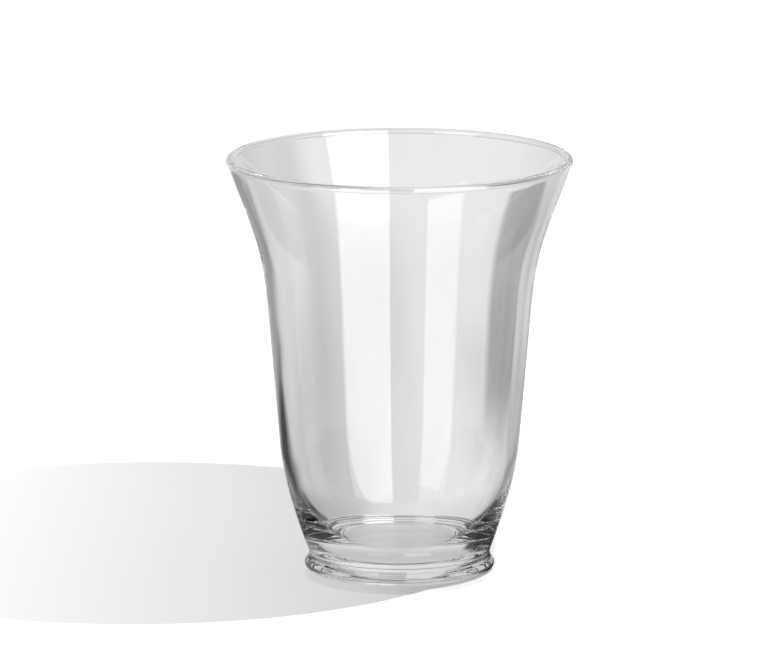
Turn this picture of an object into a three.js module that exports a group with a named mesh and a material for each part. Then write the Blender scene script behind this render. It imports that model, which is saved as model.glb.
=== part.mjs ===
// A goblet vase in clear glass: a flared bowl and a round foot, joined by a collar.
// The three pieces are gathers of the same glass, stuck to each other hot on flat faces.
// Millimetres, +Z up. The origin is the centre of the ring that the foot stands on.

import * as THREE from "three";

// Overall sizes
const HEIGHT = 152.4;
const MOUTH_DIAMETER = 126;

// Foot: a thick disc with a rounded edge and a shallow kick pressed into its underside
const FOOT_DIAMETER = 69.5;
const FOOT_HEIGHT = 4;
const FOOT_EDGE_ROUND = 1.6;
const KICK_DIAMETER = 54;
const KICK_SIDE_WIDTH = 6;
const KICK_DEPTH = 1.7;

// Collar: a wafer of glass whose hollow edge draws in from the foot to the waist, where the bowl sits
const COLLAR_HEIGHT = 1.75;
const WAIST_DIAMETER = 66.4;
const WAIST_HOLLOW = 0.35;

// Bowl: a hollow neck rises from the waist; other heights are from the table, and walls are measured level
const NECK_HEIGHT = 1.75;
const BELLY_HEIGHT = 46;
const BELLY_DIAMETER = 87.4;
const THROAT_HEIGHT = 94.5;
const THROAT_DIAMETER = 95.5;
const BELLY_WALL = 2.6;
const THROAT_WALL = 2.6;
const RIM_THICKNESS = 2.7;
const FLOOR_THICKNESS = 2;
const FLOOR_DIAMETER = 38;

// How far the wall leans outwards from upright at the rim, in radians
const RIM_LEAN = THREE.MathUtils.degToRad(20);

// Shape of the curves: the length of each handle as a share of the run that it bends
const BELLY_PULL = 0.3;
const FLARE_PULL = 0.47;
const WELL_SIDE_PULL = 0.42;
const WELL_FLOOR_PULL = 0.55;
const KICK_PULL = 0.5;
const FOOT_SHOULDER_PULL = 0.5;

// Smoothness: facets round the axis, and steps along each curve of a profile
const TURN_STEPS = 72;
const LONG_CURVE_STEPS = 12;
const SHORT_CURVE_STEPS = 6;

const radius = (diameter) => diameter / 2;
const point = (r, z) => new THREE.Vector2(r, z);

// Heights of the joints and of the bowl's floor
const COLLAR_SEAT = FOOT_HEIGHT;
const BOWL_SEAT = FOOT_HEIGHT + COLLAR_HEIGHT;
const FLOOR_HEIGHT = BOWL_SEAT + FLOOR_THICKNESS;

// The radius to which the waist opens out above and below, and the leans at which it then runs on
const HOLLOW_END = radius(WAIST_DIAMETER) + WAIST_HOLLOW;
const NECK_LEAN = Math.atan2(2 * WAIST_HOLLOW, NECK_HEIGHT);
const COLLAR_LEAN = Math.atan2(2 * WAIST_HOLLOW, COLLAR_HEIGHT);

const glass = new THREE.MeshStandardMaterial({
  color: 0xe9edec,
  roughness: 0.02,
  metalness: 0,
  transparent: true,
  opacity: 0.35,
});

// A curve that leaves `from` and reaches `to` at the given leans, with handles that share its rise.
function leaningCurve(from, to, leanFrom, leanTo, pull) {
  const handle = pull * (to.y - from.y);
  return new THREE.CubicBezierCurve(
    from,
    point(from.x + handle * Math.tan(leanFrom), from.y + handle),
    point(to.x - handle * Math.tan(leanTo), to.y - handle),
    to,
  );
}

// An arc of a circle, run anticlockwise from one angle to the other.
function roundEdge(centre, round, from, to) {
  return new THREE.EllipseCurve(centre.x, centre.y, round, round, from, to);
}

// The hollow between the waist, where it stands upright, and a wider end.
function hollow(waist, end) {
  return new THREE.QuadraticBezierCurve(waist, point(waist.x, (waist.y + end.y) / 2), end);
}

// The same curve run from its far end.
function reversed(curve) {
  if (curve.isQuadraticBezierCurve) return new THREE.QuadraticBezierCurve(curve.v2, curve.v1, curve.v0);
  return new THREE.CubicBezierCurve(curve.v3, curve.v2, curve.v1, curve.v0);
}

// The points of one profile: single corners and curves, in order, with shared ends kept once.
function profile(...stretches) {
  const points = [];
  for (const [stretch, steps] of stretches) {
    const added = stretch.isVector2 ? [stretch] : stretch.getPoints(steps);
    for (const next of added) {
      const last = points.at(-1);
      if (!last || last.distanceTo(next) > 1e-6) points.push(next);
    }
  }
  return points;
}

// A solid of revolution about +Z from a profile of (radius, height) points.
function turned(name, points) {
  const geometry = new THREE.LatheGeometry(points, TURN_STEPS);
  geometry.rotateX(Math.PI / 2);
  const mesh = new THREE.Mesh(geometry, glass);
  mesh.name = name;
  return mesh;
}

// Foot: it stands on a flat ring, its edge is rounded over, and the kick keeps its middle off the table.
function makeFoot() {
  const kickEdge = point(radius(KICK_DIAMETER), 0);
  const kickCrown = point(kickEdge.x - KICK_SIDE_WIDTH, KICK_DEPTH);
  const kickHandle = KICK_PULL * KICK_SIDE_WIDTH;
  const kickSide = new THREE.CubicBezierCurve(
    kickCrown,
    point(kickCrown.x + kickHandle, kickCrown.y),
    point(kickEdge.x - kickHandle, kickEdge.y),
    kickEdge,
  );
  const edgeCentre = point(radius(FOOT_DIAMETER) - FOOT_EDGE_ROUND, FOOT_EDGE_ROUND);
  const edge = roundEdge(edgeCentre, FOOT_EDGE_ROUND, -Math.PI / 2, 0);
  const widest = point(radius(FOOT_DIAMETER), FOOT_EDGE_ROUND);
  const top = point(HOLLOW_END, FOOT_HEIGHT);
  const shoulder = leaningCurve(widest, top, 0, -COLLAR_LEAN, FOOT_SHOULDER_PULL);
  return turned(
    "foot",
    profile(
      [point(0, KICK_DEPTH)],
      [kickSide, SHORT_CURVE_STEPS],
      [edge, SHORT_CURVE_STEPS],
      [shoulder, SHORT_CURVE_STEPS],
      [point(0, FOOT_HEIGHT)],
    ),
  );
}

// Collar: its hollow edge draws in from the foot's top to the waist, where the bowl sits.
function makeCollar() {
  const low = point(HOLLOW_END, COLLAR_SEAT);
  const waist = point(radius(WAIST_DIAMETER), BOWL_SEAT);
  const edge = reversed(hollow(waist, low));
  return turned(
    "joining_collar",
    profile([point(0, COLLAR_SEAT)], [edge, SHORT_CURVE_STEPS], [point(0, BOWL_SEAT)]),
  );
}

// Bowl: a hollow neck, a rounded belly, a wall that opens slowly, a flared mouth and a fire-polished rim.
function makeBowl() {
  const waist = point(radius(WAIST_DIAMETER), BOWL_SEAT);
  const neck = point(HOLLOW_END, BOWL_SEAT + NECK_HEIGHT);
  const belly = point(radius(BELLY_DIAMETER), BELLY_HEIGHT);
  const throat = point(radius(THROAT_DIAMETER), THROAT_HEIGHT);
  const innerBelly = point(belly.x - BELLY_WALL, belly.y);
  const innerThroat = point(throat.x - THROAT_WALL, throat.y);
  const wallLean = Math.atan2(throat.x - belly.x, throat.y - belly.y);
  const innerLean = Math.atan2(innerThroat.x - innerBelly.x, throat.y - belly.y);

  const rimRound = RIM_THICKNESS / 2;
  const rimCentre = point(radius(MOUTH_DIAMETER) - rimRound, HEIGHT - rimRound);
  const acrossRim = point(rimRound * Math.cos(RIM_LEAN), -rimRound * Math.sin(RIM_LEAN));
  const rim = roundEdge(rimCentre, rimRound, -RIM_LEAN, Math.PI - RIM_LEAN);
  const flare = leaningCurve(throat, rimCentre.clone().add(acrossRim), wallLean, RIM_LEAN, FLARE_PULL);
  const innerFlare = leaningCurve(
    innerThroat,
    rimCentre.clone().sub(acrossRim),
    innerLean,
    RIM_LEAN,
    FLARE_PULL,
  );

  const floorEdge = point(radius(FLOOR_DIAMETER), FLOOR_HEIGHT);
  const wellDrop = WELL_SIDE_PULL * (innerBelly.y - floorEdge.y);
  const well = new THREE.CubicBezierCurve(
    innerBelly,
    point(innerBelly.x - wellDrop * Math.tan(innerLean), innerBelly.y - wellDrop),
    point(floorEdge.x + WELL_FLOOR_PULL * (innerBelly.x - floorEdge.x), floorEdge.y),
    floorEdge,
  );

  return turned(
    "bowl",
    profile(
      [point(0, BOWL_SEAT)],
      [hollow(waist, neck), SHORT_CURVE_STEPS],
      [leaningCurve(neck, belly, NECK_LEAN, wallLean, BELLY_PULL), LONG_CURVE_STEPS],
      [flare, LONG_CURVE_STEPS],
      [rim, SHORT_CURVE_STEPS],
      [reversed(innerFlare), LONG_CURVE_STEPS],
      [well, LONG_CURVE_STEPS],
      [point(0, FLOOR_HEIGHT)],
    ),
  );
}

const vase = new THREE.Group();
vase.name = "goblet_vase";
vase.add(makeFoot(), makeCollar(), makeBowl());

export default vase;
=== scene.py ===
"""A goblet vase in clear glass on a white table: a flared bowl, a joining collar and a round foot."""

import math

import bmesh
import bpy
from bpy.props import FloatProperty, FloatVectorProperty, PointerProperty
from bpy.types import Operator, Panel, PropertyGroup
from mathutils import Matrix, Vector
from mathutils.geometry import interpolate_bezier


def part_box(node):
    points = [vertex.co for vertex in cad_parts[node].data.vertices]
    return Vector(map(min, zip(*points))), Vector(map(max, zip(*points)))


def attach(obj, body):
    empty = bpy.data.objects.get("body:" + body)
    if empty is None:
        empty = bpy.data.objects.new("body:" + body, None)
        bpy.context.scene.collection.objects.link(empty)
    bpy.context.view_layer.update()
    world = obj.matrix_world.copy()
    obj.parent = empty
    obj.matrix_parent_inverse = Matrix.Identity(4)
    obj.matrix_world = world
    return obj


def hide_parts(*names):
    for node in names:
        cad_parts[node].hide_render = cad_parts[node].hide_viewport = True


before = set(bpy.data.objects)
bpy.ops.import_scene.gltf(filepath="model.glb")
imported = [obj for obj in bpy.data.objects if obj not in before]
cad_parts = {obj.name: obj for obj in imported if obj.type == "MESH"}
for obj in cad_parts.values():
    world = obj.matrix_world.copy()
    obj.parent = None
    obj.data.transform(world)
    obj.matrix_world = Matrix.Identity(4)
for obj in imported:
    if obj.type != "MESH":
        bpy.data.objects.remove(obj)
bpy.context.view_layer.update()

bl_info = {
    "name": "Goblet Vase",
    "version": (1, 0, 0),
    "blender": (4, 5, 0),
    "location": "3D View > Sidebar > Goblet Vase",
    "description": "Turns a clear glass goblet vase and sets it on a white table",
    "category": "Add Mesh",
}

MM = 0.001

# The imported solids, which fix the overall sizes and the joints
FOOT_LOW, FOOT_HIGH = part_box("foot")
COLLAR_LOW, COLLAR_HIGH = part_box("joining_collar")
BOWL_LOW, BOWL_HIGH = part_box("bowl")
COLLAR_SEAT = COLLAR_LOW.z
BOWL_SEAT = BOWL_LOW.z

# How far the wall leans outwards at the rim
RIM_LEAN = math.radians(20)

# Shape of the curves: the length of each handle as a share of the run that it bends
BELLY_PULL = 0.3
FLARE_PULL = 0.47
BEAD_PULL = 0.45
WELL_SIDE_PULL = 0.42
WELL_FLOOR_PULL = 0.55
KICK_PULL = 0.5
FOOT_SHOULDER_PULL = 0.5
QUARTER_ROUND_PULL = 0.5523
HOLLOW_PULL = 2 / 3

# Smoothness of the turned meshes
TURN_STEPS = 256
LONG_CURVE_POINTS = 33
SHORT_CURVE_POINTS = 13
WALL_STEPS = 8
SHARP_ANGLE = math.radians(35)
MERGE = 1e-6

# Streaks and ripples, drawn out along the axis: their noise per metre, and the streaks' soft edge
DRAWN_OUT = (1.0, 1.0, 0.3)
STREAK_SCALE = 70.0
STREAK_DETAIL = 2.0
STREAK_EDGE = (0.45, 0.75)
RIPPLE_SCALE = 55.0
RIPPLE_DETAIL = 1.0


def length(name, description, metres):
    """A size that a user may change, in metres."""
    return FloatProperty(
        name=name, description=description, default=metres, min=0, unit="LENGTH", subtype="DISTANCE"
    )


class VaseSizes(PropertyGroup):
    """Sizes of the vase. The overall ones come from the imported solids."""

    height: length("Height", "From the table to the top of the rim", BOWL_HIGH.z)
    mouth_diameter: length("Mouth", "Diameter across the outside of the rim", BOWL_HIGH.x - BOWL_LOW.x)
    rim_thickness: length("Rim", "Thickness of the fire-polished rim", 2.7 * MM)
    bead: length("Bead", "How far the rim's bead stands out from the wall on each side", 0.2 * MM)
    bead_height: length("Bead height", "From under the bead to the rim's widest line", 1.2 * MM)
    throat_height: length("Throat height", "Height at which the wall starts to flare", 94.5 * MM)
    throat_diameter: length("Throat", "Outside diameter where the flare starts", 95.5 * MM)
    throat_wall: length("Throat wall", "Level thickness of the wall at the throat", 2.6 * MM)
    belly_height: length("Belly height", "Height at which the round bottom meets the wall", 46 * MM)
    belly_diameter: length("Belly", "Outside diameter at the top of the rounded bottom", 87.4 * MM)
    belly_wall: length("Belly wall", "Level thickness of the wall at the belly", 2.6 * MM)
    floor_thickness: length("Floor thickness", "Glass between the joint and the bowl's floor", 2 * MM)
    floor_diameter: length("Floor", "Diameter of the flat floor inside the bowl", 38 * MM)
    neck_height: length("Neck", "Height over which the bowl opens out from the waist", 1.75 * MM)
    collar_diameter: length("Collar", "Diameter at the foot's top", COLLAR_HIGH.x - COLLAR_LOW.x)
    waist_hollow: length("Waist hollow", "How far the glass draws in to the waist", 0.35 * MM)
    foot_diameter: length("Foot", "Diameter of the foot", FOOT_HIGH.x - FOOT_LOW.x)
    foot_edge_round: length("Foot edge", "Radius of the foot's lower edge", 1.6 * MM)
    kick_diameter: length("Kick", "Diameter of the hollow under the foot", 54 * MM)
    kick_side_width: length("Kick side", "Width of the kick's sloping side", 6 * MM)
    kick_depth: length("Kick depth", "Depth of the hollow under the foot", 1.7 * MM)


class GlassFinish(PropertyGroup):
    """Look of the glass."""

    tint: FloatVectorProperty(
        name="Tint",
        description="Colour of light that has passed one wall",
        subtype="COLOR",
        default=(0.976, 0.975, 0.976),
        min=0,
        max=1,
    )
    streak_tint: FloatVectorProperty(
        name="Streak tint",
        description="Colour of light that has passed a faint streak in the glass",
        subtype="COLOR",
        default=(0.951, 0.948, 0.95),
        min=0,
        max=1,
    )
    refraction: FloatProperty(
        name="Refraction", description="Index of refraction of the glass", default=1.52, min=1, max=3
    )
    ripple: length("Ripple", "Height of the slow ripples left by shaping the glass hot", 0.04 * MM)


class StudioSettings(PropertyGroup):
    """Light on the vase and the white table under it."""

    key_brightness: FloatProperty(
        name="Key panel", description="Brightness of the tall panel on the right", default=3.6, min=0
    )
    fill_brightness: FloatProperty(
        name="Fill panel", description="Brightness of the panel on the left", default=2.2, min=0
    )
    shadow_lamp_power: FloatProperty(
        name="Shadow lamp",
        description="Power of the small lamp that throws the vase's shadow",
        default=10.0,
        min=0,
        unit="POWER",
    )
    room_brightness: FloatProperty(
        name="Room light", description="Level light from all round", default=0.3, min=0
    )
    table_colour: FloatVectorProperty(
        name="Table",
        description="Colour of the table top",
        subtype="COLOR",
        default=(0.25, 0.25, 0.25),
        min=0,
        max=1,
    )


# Shader maths


class Shade:
    """A shader socket that Python's operators work on. Each sum adds a Math node to the same tree."""

    def __init__(self, tree, socket=None):
        self.tree = tree
        self.socket = socket

    def node(self, kind, settings=None, inputs=None):
        """Add a node, with its settings made first and then its sockets set or linked."""
        made = self.tree.nodes.new(kind)
        for name, value in (settings or {}).items():
            setattr(made, name, value)
        for name, value in (inputs or {}).items():
            if isinstance(value, Shade):
                self.tree.links.new(value.socket, made.inputs[name])
            else:
                made.inputs[name].default_value = value
        return Shade(self.tree, made.outputs[0] if made.outputs else None)

    def out(self, name):
        """Another output of the same node."""
        return Shade(self.tree, self.socket.node.outputs[name])

    def maths(self, operation, first, second=0.0):
        return self.node("ShaderNodeMath", {"operation": operation}, {0: first, 1: second})

    def __add__(self, other):
        return self.maths("ADD", self, other)

    def __radd__(self, other):
        return self.maths("ADD", other, self)

    def __sub__(self, other):
        return self.maths("SUBTRACT", self, other)

    def __rsub__(self, other):
        return self.maths("SUBTRACT", other, self)

    def __mul__(self, other):
        return self.maths("MULTIPLY", self, other)

    def __rmul__(self, other):
        return self.maths("MULTIPLY", other, self)

    def larger(self, other):
        return self.maths("MAXIMUM", self, other)

    def smaller(self, other):
        return self.maths("MINIMUM", self, other)

    def size(self):
        """The value without its sign."""
        return self.maths("ABSOLUTE", self)

    def towards(self, other, share):
        """This value moved towards another by a share between nought and one."""
        return self + share * (other - self)

    def ramp(self, low, high, start=0.0, end=1.0):
        """A smooth step from start to end as the value goes from low to high."""
        return self.node(
            "ShaderNodeMapRange",
            {"interpolation_type": "SMOOTHSTEP"},
            {"Value": self, "From Min": low, "From Max": high, "To Min": start, "To Max": end},
        )

    def fall(self, low, high):
        """A smooth step down, from one at low to nought at high."""
        return self.ramp(low, high, 1.0, 0.0)

    def band(self, low, high, soft):
        """One between low and high, and nought outside, with soft edges."""
        return self.ramp(low - soft, low + soft) * self.fall(high - soft, high + soft)


def new_material(name):
    """An empty material, and the start of its shader maths."""
    material = bpy.data.materials.new(name)
    material.use_nodes = True
    material.node_tree.nodes.clear()
    return material, Shade(material.node_tree)


def clear_glass(finish):
    """Soda-lime glass with faint streaks, and with the slow ripples of a piece that was shaped hot."""
    name = "polished_glass"
    if name in bpy.data.materials:
        return bpy.data.materials[name]
    material, sheet = new_material(name)
    place = sheet.node("ShaderNodeTexCoord").out("Object")
    drawn = sheet.node("ShaderNodeMapping", inputs={"Vector": place, "Scale": DRAWN_OUT})
    streak = sheet.node(
        "ShaderNodeTexNoise", inputs={"Vector": drawn, "Scale": STREAK_SCALE, "Detail": STREAK_DETAIL}
    )
    tint = sheet.node(
        "ShaderNodeMix",
        {"data_type": "RGBA"},
        {0: streak.ramp(*STREAK_EDGE), 6: (*finish.tint, 1.0), 7: (*finish.streak_tint, 1.0)},
    ).out(2)
    ripple = sheet.node(
        "ShaderNodeTexNoise", inputs={"Vector": drawn, "Scale": RIPPLE_SCALE, "Detail": RIPPLE_DETAIL}
    )
    skin = sheet.node(
        "ShaderNodeBump", inputs={"Strength": 1.0, "Distance": finish.ripple, "Height": ripple}
    )
    glass = sheet.node(
        "ShaderNodeBsdfPrincipled",
        inputs={
            "Base Color": tint,
            "Roughness": 0.0,
            "IOR": finish.refraction,
            "Transmission Weight": 1.0,
            "Normal": skin,
        },
    )
    sheet.node("ShaderNodeOutputMaterial", inputs={"Surface": glass})
    return material


def fused_joint():
    """The faces at which two gathers of glass run together, which light passes straight through."""
    name = "fused_joint"
    if name in bpy.data.materials:
        return bpy.data.materials[name]
    material, sheet = new_material(name)
    joint = sheet.node(
        "ShaderNodeBsdfPrincipled",
        inputs={"Base Color": (1, 1, 1, 1), "Roughness": 0.0, "Alpha": 0.0},
    )
    sheet.node("ShaderNodeOutputMaterial", inputs={"Surface": joint})
    return material


# Profiles: points to the right of the axis, as (radius, 0, height)


def at(radius, height):
    return Vector((radius, 0.0, height))


def along(lean, rise):
    """The step that climbs by rise along a wall that leans outwards by lean."""
    return at(rise * math.tan(lean), rise)


def leaning_curve(start, end, lean_start, lean_end, pull):
    """A curve that leaves start and reaches end at the given leans. Its handles share its rise."""
    handle = pull * (end.z - start.z)
    return interpolate_bezier(
        start, start + along(lean_start, handle), end - along(lean_end, handle), end, LONG_CURVE_POINTS
    )


def quarter_round(start, corner, end):
    """A quarter of a round edge, from start to end, inside the given corner."""
    return interpolate_bezier(
        start,
        start.lerp(corner, QUARTER_ROUND_PULL),
        end.lerp(corner, QUARTER_ROUND_PULL),
        end,
        SHORT_CURVE_POINTS,
    )


def straight(start, end):
    """A straight run of wall, in even steps."""
    return [start.lerp(end, step / WALL_STEPS) for step in range(WALL_STEPS + 1)]


def profile(*stretches):
    """The points of the stretches in order, with the ends that they share kept once."""
    points = []
    for stretch in stretches:
        for point in stretch:
            if not points or (point - points[-1]).length > MERGE:
                points.append(point)
    return points


def hollow(waist, end):
    """The hollow between the waist, where it stands upright, and a wider end."""
    middle = at(waist.x, (waist.z + end.z) / 2)
    return interpolate_bezier(
        waist,
        waist.lerp(middle, HOLLOW_PULL),
        end.lerp(middle, HOLLOW_PULL),
        end,
        SHORT_CURVE_POINTS,
    )


def waist_edge(sizes):
    """The narrowest place, where the bowl sits on the collar."""
    return at(sizes.collar_diameter / 2 - sizes.waist_hollow, BOWL_SEAT)


def foot_profile(sizes):
    kick_edge = at(sizes.kick_diameter / 2, 0)
    kick_crown = at(kick_edge.x - sizes.kick_side_width, sizes.kick_depth)
    kick_handle = at(KICK_PULL * sizes.kick_side_width, 0)
    kick_side = interpolate_bezier(
        kick_crown, kick_crown + kick_handle, kick_edge - kick_handle, kick_edge, SHORT_CURVE_POINTS
    )
    reach = sizes.foot_diameter / 2
    edge = sizes.foot_edge_round
    round_edge = quarter_round(at(reach - edge, 0), at(reach, 0), at(reach, edge))
    top = at(sizes.collar_diameter / 2, COLLAR_SEAT)
    collar_lean = math.atan2(2 * sizes.waist_hollow, BOWL_SEAT - COLLAR_SEAT)
    shoulder = leaning_curve(at(reach, edge), top, 0, -collar_lean, FOOT_SHOULDER_PULL)
    return profile(
        [at(0, sizes.kick_depth)], kick_side, round_edge, shoulder, [at(0, COLLAR_SEAT)]
    )


def collar_profile(sizes):
    edge = hollow(waist_edge(sizes), at(sizes.collar_diameter / 2, COLLAR_SEAT))
    return profile([at(0, COLLAR_SEAT)], reversed(edge), [at(0, BOWL_SEAT)])


def bowl_profile(sizes):
    neck = at(sizes.collar_diameter / 2, BOWL_SEAT + sizes.neck_height)
    neck_lean = math.atan2(2 * sizes.waist_hollow, sizes.neck_height)
    belly = at(sizes.belly_diameter / 2, sizes.belly_height)
    throat = at(sizes.throat_diameter / 2, sizes.throat_height)
    inner_belly = belly - at(sizes.belly_wall, 0)
    inner_throat = throat - at(sizes.throat_wall, 0)
    wall_lean = math.atan2(throat.x - belly.x, throat.z - belly.z)
    inner_lean = math.atan2(inner_throat.x - inner_belly.x, throat.z - belly.z)

    rim_round = sizes.rim_thickness / 2
    rim_centre = at(sizes.mouth_diameter / 2 - rim_round, sizes.height - rim_round)
    across = rim_round * at(math.cos(RIM_LEAN), -math.sin(RIM_LEAN))
    up = rim_round * at(math.sin(RIM_LEAN), math.cos(RIM_LEAN))
    crest = rim_centre + up
    outer_lip, inner_lip = rim_centre + across, rim_centre - across
    below = along(RIM_LEAN, sizes.bead_height)
    pinch = across * (sizes.bead / rim_round)
    outer_pinch, inner_pinch = outer_lip - below - pinch, inner_lip - below + pinch

    floor_edge = at(sizes.floor_diameter / 2, BOWL_SEAT + sizes.floor_thickness)
    well_drop = WELL_SIDE_PULL * (inner_belly.z - floor_edge.z)
    well = interpolate_bezier(
        inner_belly,
        inner_belly - along(inner_lean, well_drop),
        floor_edge + at(WELL_FLOOR_PULL * (inner_belly.x - floor_edge.x), 0),
        floor_edge,
        LONG_CURVE_POINTS,
    )
    inner_flare = leaning_curve(inner_throat, inner_pinch, inner_lean, RIM_LEAN, FLARE_PULL)
    return profile(
        [at(0, BOWL_SEAT)],
        hollow(waist_edge(sizes), neck),
        leaning_curve(neck, belly, neck_lean, wall_lean, BELLY_PULL),
        straight(belly, throat),
        leaning_curve(throat, outer_pinch, wall_lean, RIM_LEAN, FLARE_PULL),
        leaning_curve(outer_pinch, outer_lip, RIM_LEAN, RIM_LEAN, BEAD_PULL),
        quarter_round(outer_lip, outer_lip + up, crest),
        quarter_round(crest, inner_lip + up, inner_lip),
        reversed(leaning_curve(inner_pinch, inner_lip, RIM_LEAN, RIM_LEAN, BEAD_PULL)),
        reversed(inner_flare),
        straight(inner_throat, inner_belly),
        well,
        [at(0, floor_edge.z)],
    )


# Pieces


def turn_piece(context, name, node, points, joints):
    """Turn a profile about the axis into a piece of glass that stands for a node of the frame."""
    shape = bmesh.new()
    corners = [shape.verts.new(point) for point in points]
    edges = [shape.edges.new(pair) for pair in zip(corners, corners[1:])]
    bmesh.ops.spin(
        shape,
        geom=corners + edges,
        cent=(0, 0, 0),
        axis=(0, 0, 1),
        dvec=(0, 0, 0),
        angle=math.tau,
        steps=TURN_STEPS,
        use_merge=True,
    )
    bmesh.ops.remove_doubles(shape, verts=shape.verts, dist=MERGE)
    bmesh.ops.recalc_face_normals(shape, faces=shape.faces)
    for face in shape.faces:
        face.smooth = True
        low = min(corner.co.z for corner in face.verts)
        high = max(corner.co.z for corner in face.verts)
        if any(abs(low - joint) < MERGE and abs(high - joint) < MERGE for joint in joints):
            face.material_index = 1

    mesh = bpy.data.meshes.new(name)
    shape.to_mesh(mesh)
    shape.free()
    mesh.set_sharp_from_angle(angle=SHARP_ANGLE)
    mesh.materials.append(clear_glass(context.scene.vase_glass))
    mesh.materials.append(fused_joint())
    piece = bpy.data.objects.new(name, mesh)
    context.scene.collection.objects.link(piece)
    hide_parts(node)
    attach(piece, "root")


class GOBLET_VASE_OT_foot(Operator):
    """Turn the foot, a thick disc with a rounded edge and a shallow kick underneath"""

    bl_idname = "goblet_vase.foot"
    bl_label = "Turn the foot"

    def execute(self, context):
        sizes = context.scene.vase_sizes
        turn_piece(context, "glass_foot", "foot", foot_profile(sizes), [COLLAR_SEAT])
        return {"FINISHED"}


class GOBLET_VASE_OT_collar(Operator):
    """Turn the joining collar, whose hollow edge draws in to the waist"""

    bl_idname = "goblet_vase.collar"
    bl_label = "Turn the joining collar"

    def execute(self, context):
        sizes = context.scene.vase_sizes
        turn_piece(
            context, "glass_collar", "joining_collar", collar_profile(sizes), [COLLAR_SEAT, BOWL_SEAT]
        )
        return {"FINISHED"}


class GOBLET_VASE_OT_bowl(Operator):
    """Turn the bowl, with its flared mouth, fire-polished rim and thick rounded bottom"""

    bl_idname = "goblet_vase.bowl"
    bl_label = "Turn the bowl"

    def execute(self, context):
        sizes = context.scene.vase_sizes
        turn_piece(context, "glass_bowl", "bowl", bowl_profile(sizes), [BOWL_SEAT])
        return {"FINISHED"}


# Stage: bearings are in degrees from straight behind the vase, positive to the right

CAMERA_PLACE = (-0.0051, -2.479, 0.5903)
CAMERA_PITCH = math.radians(11.479)
CAMERA_LENS = 323.8
SENSOR_WIDTH = 36.0

TABLE_RADIUS = 8.0
TABLE_SEGMENTS = 96
TABLE_DROP = 0.1 * MM

# The shadow on the table, whose level is painted shade in the table's glow: its level at the axis, what
# it gains for each metre to the left, and its ends
SHADOW_GLOW = 0.595
SHADOW_FADE = 2.08
SHADOW_RIGHT_END = (0.028, 0.04)
SHADOW_FAR_END = (0.2, 0.26)

# A painted reflection of the foot in the table, a darker band: its middle, its edge, and how dark it is
# from left to right
PAINTED_FOOT_REFLECTION = (0.0, -0.0105, 0.0)
PAINTED_FOOT_REFLECTION_EDGE = (0.0335, 0.0355)
PAINTED_FOOT_REFLECTION_SIDES = (-0.02, 0.02)
PAINTED_FOOT_REFLECTION_DARKNESS = (0.12, 0.3)

PANEL_DISTANCE = 0.5
KEY_BEARINGS = (122.0, 171.0)
KEY_TOP = math.radians(60)
FILL_BEARINGS = (-154.5, -122.0)
FILL_TOP = math.radians(40)
SHADOW_LAMP_PLACE = (0.0867, -0.0384, 0.2883)
SHADOW_LAMP_RADIUS = 0.4 * MM

# How often light may be bent or mirrored, which is often in the rim and the base
GLASS_BOUNCES = 512

# What the glass sees round it: a backdrop that is wider at the top, dark cards beside it and a ceiling
BACKDROP_LEVEL = 0.92
BACKDROP_SPREAD = (33.0, 46.0)
BACKDROP_RISE = (0.1, 0.3)
CARD_LEVEL = 0.05
CARD_SOFTNESS = 1.5
CEILING = math.radians(60)
CEILING_SOFTNESS = 0.1
CEILING_LEVEL = 0.6

# What is left of light that was thrown to and fro in the base, and the mirrorings that count as that
BASE_LIGHT = 0.03
BASE_MIRRORINGS = (4, 59)
BACKDROP_LIGHT_IN_BASE = 0.1
BACKDROP_MIRRORINGS = (8, 28)

# How light the glass sees the fields of the table, which are painted light and shade in its glow, from
# near to far or from left to right
LIT_LEVELS = (0.74, 0.87)
LIT_FAR_LEVEL = 0.93
LIT_DIP = 0.14
DIM_LEVELS = (0.66, 0.55)
DIM_FAR_GAIN = 0.13
STRIP_LEVELS = (0.31, 0.46)
RIGHT_EDGE_LEVELS = (0.3, 0.76)
RIGHT_WIDE_LEVELS = (0.3, 0.52)
RIGHT_FAR_LEVEL = 0.9
LEFT_EDGE_LEVELS = (0.07, 0.36)
FRONT_LEVELS = (0.92, 0.15)
BESIDE_FOOT_DIMMING = 0.75
# Painted shade under the foot
UNDER_FOOT_PAINTED_SHADE = 0.56
CLOSE_BEHIND_DIMMING = 0.7
# Painted shade beside the foot
PATCH_PAINTED_SHADE = 0.02

# How far the edges of those fields move sideways for each metre behind the vase, and where that ends
LIT_SLANT = -0.052
STRIP_SLANT = 0.0645
RIGHT_SLANT = 0.17
RIGHT_SLANT_END = 0.48
LEFT_SLANT = -0.27
LEFT_SLANT_END = 0.4
LEFT_CORNER_SLANT = -0.5

# How far the back of the two patches beside the foot moves for each metre to the right
LEFT_PATCH_SLANT = -1.64
RIGHT_PATCH_SLANT = 1.29

# How much wider the left field is close behind the vase, and half the width of a field's soft edge
LEFT_WIDENING = 0.017
FIELD_SOFTNESS = 0.006


def axes_of(place):
    """The three axes of a place or direction."""
    across = place.node("ShaderNodeSeparateXYZ", inputs={"Vector": place})
    return across, across.out("Y"), across.out("Z")


def seen_in_glass(sheet):
    """One for a ray that glass has mirrored or bent."""
    path = sheet.node("ShaderNodeLightPath")
    return path.out("Is Glossy Ray").larger(path.out("Is Transmission Ray"))


def mirrored(sheet, fewest, most):
    """One for a ray that glass has mirrored from fewest to most times. The edges lie between counts."""
    count = sheet.node("ShaderNodeLightPath").out("Glossy Depth")
    return count.band(fewest - 0.5, most + 0.5, 0.4)


def outside_base(sheet):
    """Dims what the thick base throws to and fro, but not what runs round in the rim."""
    return 1 - (1 - BASE_LIGHT) * mirrored(sheet, *BASE_MIRRORINGS)


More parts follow.
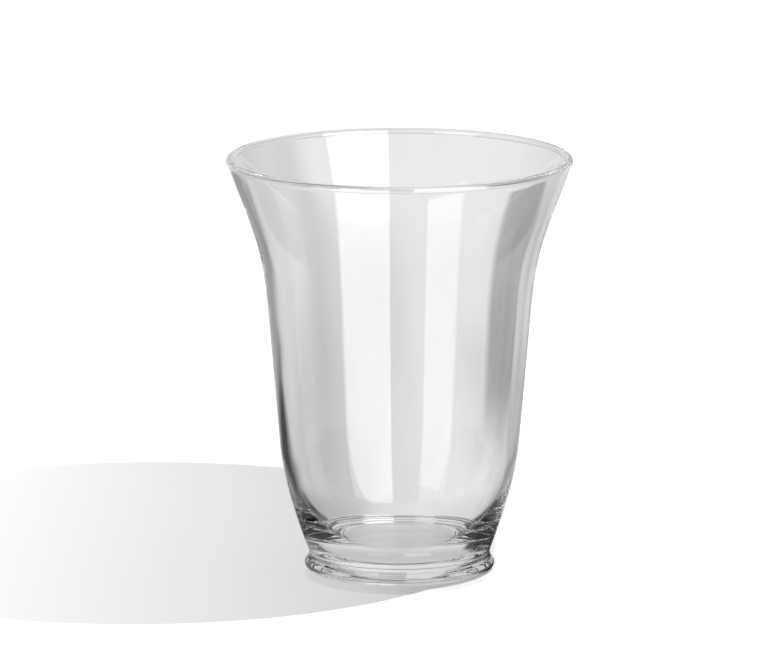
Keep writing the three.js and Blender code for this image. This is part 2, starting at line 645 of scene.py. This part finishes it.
def hang_backdrop(context, studio):
    """A white backdrop, with the dark cards that draw the edges of clear glass."""
    world = bpy.data.worlds.new("backdrop")
    context.scene.world = world
    world.use_nodes = True
    world.node_tree.nodes.clear()
    sheet = Shade(world.node_tree)
    across, behind, rise = axes_of(sheet.node("ShaderNodeTexCoord").out("Generated"))
    bearing = sheet.maths("ARCTAN2", across.size(), behind) * math.degrees(1)
    outside = bearing - rise.ramp(*BACKDROP_RISE, *BACKDROP_SPREAD)
    level = outside.ramp(-CARD_SOFTNESS, CARD_SOFTNESS, BACKDROP_LEVEL, CARD_LEVEL)
    overhead = rise.ramp(math.sin(CEILING) - CEILING_SOFTNESS, math.sin(CEILING) + CEILING_SOFTNESS)
    in_base = mirrored(sheet, *BACKDROP_MIRRORINGS)
    level = level.towards(CEILING_LEVEL, overhead) * (1 - (1 - BACKDROP_LIGHT_IN_BASE) * in_base)
    camera_ray = sheet.node("ShaderNodeLightPath").out("Is Camera Ray")
    plain = studio.room_brightness + (1 - studio.room_brightness) * camera_ray
    background = sheet.node(
        "ShaderNodeBackground", inputs={"Strength": plain.towards(level, seen_in_glass(sheet))}
    )
    sheet.node("ShaderNodeOutputWorld", inputs={"Surface": background})


def distance(place, centre=(0.0, 0.0, 0.0)):
    """How far a place is from a centre."""
    gap = place.node("ShaderNodeVectorMath", {"operation": "DISTANCE"}, {0: place, 1: centre})
    return gap.out("Value")


def field(across, behind, left=None, right=None, near=None, far=None):
    """One inside a field of the table. Each edge is soft, and runs between the two places given."""
    shares = [axis.ramp(*edge) for axis, edge in ((across, left), (behind, near)) if edge]
    shares += [axis.fall(*edge) for axis, edge in ((across, right), (behind, far)) if edge]
    return math.prod(shares)


def broad_fields(across, behind):
    """The level of the table behind the vase: dim on the left, lit on the right with a dip in it."""
    dip = field(across, behind, left=(0.022, 0.05), near=(0.09, 0.2), far=(0.36, 0.5))
    lit = across.ramp(-0.012, 0.016, *LIT_LEVELS)
    lit = lit.towards(LIT_FAR_LEVEL, behind.ramp(0.5, 0.8)) - LIT_DIP * dip
    dim = across.ramp(-0.09, -0.05, *DIM_LEVELS) + behind.ramp(0.3, 0.7, 0.0, DIM_FAR_GAIN)
    return dim.towards(lit, (across - LIT_SLANT * behind).ramp(-0.026, -0.002))


def with_right_side(level, across, behind):
    """The level with the dark strip on the right and the field that draws the bowl's right edge."""
    beside_strip = across - STRIP_SLANT * behind
    strip = field(beside_strip, behind, left=(0.029, 0.039), near=(0.17, 0.32), far=(0.7, 0.735))
    level = level.towards(behind.ramp(0.4, 0.65, *STRIP_LEVELS), strip)
    near_level = behind.ramp(0.1, 0.42, *RIGHT_EDGE_LEVELS)
    edge_level = near_level.larger(across.ramp(0.1, 0.135, *RIGHT_WIDE_LEVELS))
    edge_level = edge_level.towards(RIGHT_FAR_LEVEL, behind.ramp(0.55, 0.7))
    beside_edge = across - RIGHT_SLANT * behind.smaller(RIGHT_SLANT_END)
    return level.towards(edge_level, beside_edge.ramp(0.05, 0.064))


def with_left_side(level, across, behind):
    """The level with the dark field that draws the bowl's left edge, wider close behind the vase."""
    widening = behind.ramp(0.15, 0.3, LEFT_WIDENING, 0.0)
    beside_edge = across - LEFT_SLANT * behind.smaller(LEFT_SLANT_END) - widening
    corner = (across - LEFT_CORNER_SLANT * behind).ramp(-0.125, -0.1).larger(behind.ramp(0.18, 0.23))
    edge = field(across, behind, left=(-0.29, -0.25), near=(0.02, 0.05), far=(0.54, 0.6))
    edge = edge * corner * beside_edge.fall(-0.066, -0.04)
    return level.towards(behind.ramp(0.19, 0.29, *LEFT_EDGE_LEVELS), edge)


def with_front(level, across, behind, reach):
    """The level with the table in front of the vase, which is darker beside the foot."""
    beside_foot = across.size().ramp(0.02, 0.035) * reach.band(0.046, 0.075, FIELD_SOFTNESS)
    front = reach.ramp(0.2, 1.0, *FRONT_LEVELS) * (1 - BESIDE_FOOT_DIMMING * beside_foot)
    return level.towards(front, behind.fall(-0.02, 0.02))


def base_patches(across, behind, reach, mirrored_once):
    """Painted shade on the table beside the foot, which makes the dark patch at either end of the base.
    """
    left = field(across, behind, left=(-0.085, -0.065), right=(-0.0285, -0.025), near=(-0.013, -0.009))
    left = left * (behind - LEFT_PATCH_SLANT * across).fall(-0.033, -0.026)
    left = left * (1 - mirrored_once * reach.fall(0.048, 0.056))
    right = field(across, behind, left=(0.025, 0.029), right=(0.056, 0.066), near=(-0.017, -0.012))
    right = right * (behind - RIGHT_PATCH_SLANT * across).fall(-0.028, -0.021)
    return left.larger(right)


def table_in_glass(place):
    """How light the table looks through the glass, by its place in metres from the axis. These fields
    are painted light and shade in the table's glow, seen only in the glass.
    """
    across, behind, _ = axes_of(place)
    reach = distance(place)
    mirrored_once = mirrored(place, 1, 1)
    level = broad_fields(across, behind)
    level = with_right_side(level, across, behind)
    level = with_left_side(level, across, behind)
    level = with_front(level, across, behind, reach) * outside_base(place)
    # Painted shade: the table under the foot is darker where the glass sees it
    level = level.towards(UNDER_FOOT_PAINTED_SHADE, reach.fall(0.027, 0.04))
    close_behind = behind.band(0.036, 0.135, FIELD_SOFTNESS) * across.size().fall(0.025, 0.035)
    level = level * (1 - CLOSE_BEHIND_DIMMING * mirrored_once * close_behind)
    # Painted shade: near-black patches on the table beside the foot
    return level.towards(PATCH_PAINTED_SHADE, base_patches(across, behind, reach, mirrored_once))


def table_white(studio):
    """A white table top that keeps the vase's shadow. Its level is painted shade in the table's glow,
    which fades away from the foot to the left.
    """
    material, sheet = new_material("table_white")
    place = sheet.node("ShaderNodeTexCoord").out("Object")
    across, _, _ = axes_of(place)
    # Painted shade: the glow is lowest at the foot and rises to the left, which sets how dark the
    # lamp's shadow looks
    shade = SHADOW_GLOW - SHADOW_FADE * across
    shade = shade.towards(1.0, across.ramp(*SHADOW_RIGHT_END))
    shade = shade.towards(1.0, distance(place).ramp(*SHADOW_FAR_END))
    glow = sheet.node("ShaderNodeEmission", inputs={"Strength": shade})
    colour = sheet.node("ShaderNodeBsdfDiffuse", inputs={"Color": (*studio.table_colour, 1.0)})
    lit = sheet.node("ShaderNodeAddShader", inputs={0: glow, 1: colour})
    black = sheet.node("ShaderNodeEmission", inputs={"Strength": 0.0})
    # Painted reflection of the foot: the table is mixed towards black in a band in front of the foot
    painted_reflection = distance(place, PAINTED_FOOT_REFLECTION).fall(*PAINTED_FOOT_REFLECTION_EDGE)
    painted_reflection = painted_reflection * across.ramp(*PAINTED_FOOT_REFLECTION_SIDES, *PAINTED_FOOT_REFLECTION_DARKNESS)
    lit = sheet.node("ShaderNodeMixShader", inputs={0: painted_reflection, 1: lit, 2: black})
    in_glass = sheet.node("ShaderNodeEmission", inputs={"Strength": table_in_glass(place)})
    surface = sheet.node(
        "ShaderNodeMixShader", inputs={0: seen_in_glass(sheet), 1: lit, 2: in_glass}
    )
    sheet.node("ShaderNodeOutputMaterial", inputs={"Surface": surface})
    return material


def lay_table(context, studio):
    """A round table top just below the foot, so that the two never share a face."""
    shape = bmesh.new()
    bmesh.ops.create_circle(shape, cap_ends=True, segments=TABLE_SEGMENTS, radius=TABLE_RADIUS)
    bmesh.ops.translate(shape, verts=shape.verts, vec=(0, 0, -TABLE_DROP))
    mesh = bpy.data.meshes.new("table_top")
    shape.to_mesh(mesh)
    shape.free()
    mesh.materials.append(table_white(studio))
    table = bpy.data.objects.new("table_top", mesh)
    context.scene.collection.objects.link(table)


def stand_panel(context, name, bearings, top, brightness):
    """A soft upright panel that the vase sees between two bearings, from the table to an elevation."""
    middle = math.radians(sum(bearings) / 2)
    half = math.radians(bearings[1] - bearings[0]) / 2
    lamp = bpy.data.lights.new(name, "AREA")
    lamp.shape = "RECTANGLE"
    lamp.size = 2 * PANEL_DISTANCE * math.tan(half)
    lamp.size_y = PANEL_DISTANCE * math.tan(top)
    lamp.energy = brightness * math.pi * lamp.size * lamp.size_y
    lamp.use_nodes = True
    lamp.node_tree.nodes.clear()
    sheet = Shade(lamp.node_tree)
    glow = sheet.node("ShaderNodeEmission", inputs={"Strength": outside_base(sheet)})
    sheet.node("ShaderNodeOutputLight", inputs={"Surface": glow})
    panel = bpy.data.objects.new(name, lamp)
    inwards = Vector((-math.sin(middle), -math.cos(middle), 0))
    panel.location = -PANEL_DISTANCE * inwards + Vector((0, 0, lamp.size_y / 2))
    panel.rotation_euler = inwards.to_track_quat("-Z", "Y").to_euler()
    panel.visible_camera = False
    panel.visible_diffuse = False
    context.scene.collection.objects.link(panel)


def hang_shadow_lamp(context, studio):
    """A small lamp close above the vase, which throws its shadow but isn't mirrored in it."""
    lamp = bpy.data.lights.new("shadow_lamp", "POINT")
    lamp.energy = studio.shadow_lamp_power
    lamp.shadow_soft_size = SHADOW_LAMP_RADIUS
    holder = bpy.data.objects.new("shadow_lamp", lamp)
    holder.location = SHADOW_LAMP_PLACE
    holder.visible_camera = False
    holder.visible_glossy = False
    holder.visible_transmission = False
    context.scene.collection.objects.link(holder)


def place_camera(context):
    """The camera at the photograph's viewing angle."""
    data = bpy.data.cameras.new("camera")
    data.sensor_fit = "HORIZONTAL"
    data.sensor_width = SENSOR_WIDTH
    data.lens = CAMERA_LENS
    camera = bpy.data.objects.new("camera", data)
    camera.location = CAMERA_PLACE
    camera.rotation_euler = (math.pi / 2 - CAMERA_PITCH, 0, 0)
    context.scene.collection.objects.link(camera)
    context.scene.camera = camera


class GOBLET_VASE_OT_stage(Operator):
    """Lay the white table, hang the backdrop, and set the lamps and the camera"""

    bl_idname = "goblet_vase.stage"
    bl_label = "Set the stage"

    def execute(self, context):
        studio = context.scene.vase_studio
        hang_backdrop(context, studio)
        lay_table(context, studio)
        stand_panel(context, "key_panel", KEY_BEARINGS, KEY_TOP, studio.key_brightness)
        stand_panel(context, "fill_panel", FILL_BEARINGS, FILL_TOP, studio.fill_brightness)
        hang_shadow_lamp(context, studio)
        place_camera(context)
        context.scene.view_settings.view_transform = "Standard"
        cycles = context.scene.cycles
        cycles.max_bounces = GLASS_BOUNCES
        cycles.transmission_bounces = GLASS_BOUNCES
        cycles.glossy_bounces = GLASS_BOUNCES
        cycles.transparent_max_bounces = GLASS_BOUNCES
        return {"FINISHED"}


class GOBLET_VASE_PT_panel(Panel):
    """Sizes, finish and light of the vase, and the steps that make it"""

    bl_label = "Goblet Vase"
    bl_space_type = "VIEW_3D"
    bl_region_type = "UI"
    bl_category = "Goblet Vase"

    def draw(self, context):
        for step in STEPS:
            self.layout.operator(step.bl_idname)
        for name, kind in SETTINGS.items():
            box = self.layout.box()
            for entry in kind.__annotations__:
                box.prop(getattr(context.scene, name), entry)


SETTINGS = {"vase_sizes": VaseSizes, "vase_glass": GlassFinish, "vase_studio": StudioSettings}
STEPS = (GOBLET_VASE_OT_foot, GOBLET_VASE_OT_collar, GOBLET_VASE_OT_bowl, GOBLET_VASE_OT_stage)
CLASSES = (*SETTINGS.values(), *STEPS, GOBLET_VASE_PT_panel)


def register():
    for kind in CLASSES:
        bpy.utils.register_class(kind)
    for name, kind in SETTINGS.items():
        setattr(bpy.types.Scene, name, PointerProperty(type=kind))


def unregister():
    for name in SETTINGS:
        delattr(bpy.types.Scene, name)
    for kind in reversed(CLASSES):
        bpy.utils.unregister_class(kind)


def main():
    register()
    bpy.ops.goblet_vase.foot()
    bpy.ops.goblet_vase.collar()
    bpy.ops.goblet_vase.bowl()
    bpy.ops.goblet_vase.stage()


if __name__ == "__main__":
    main()
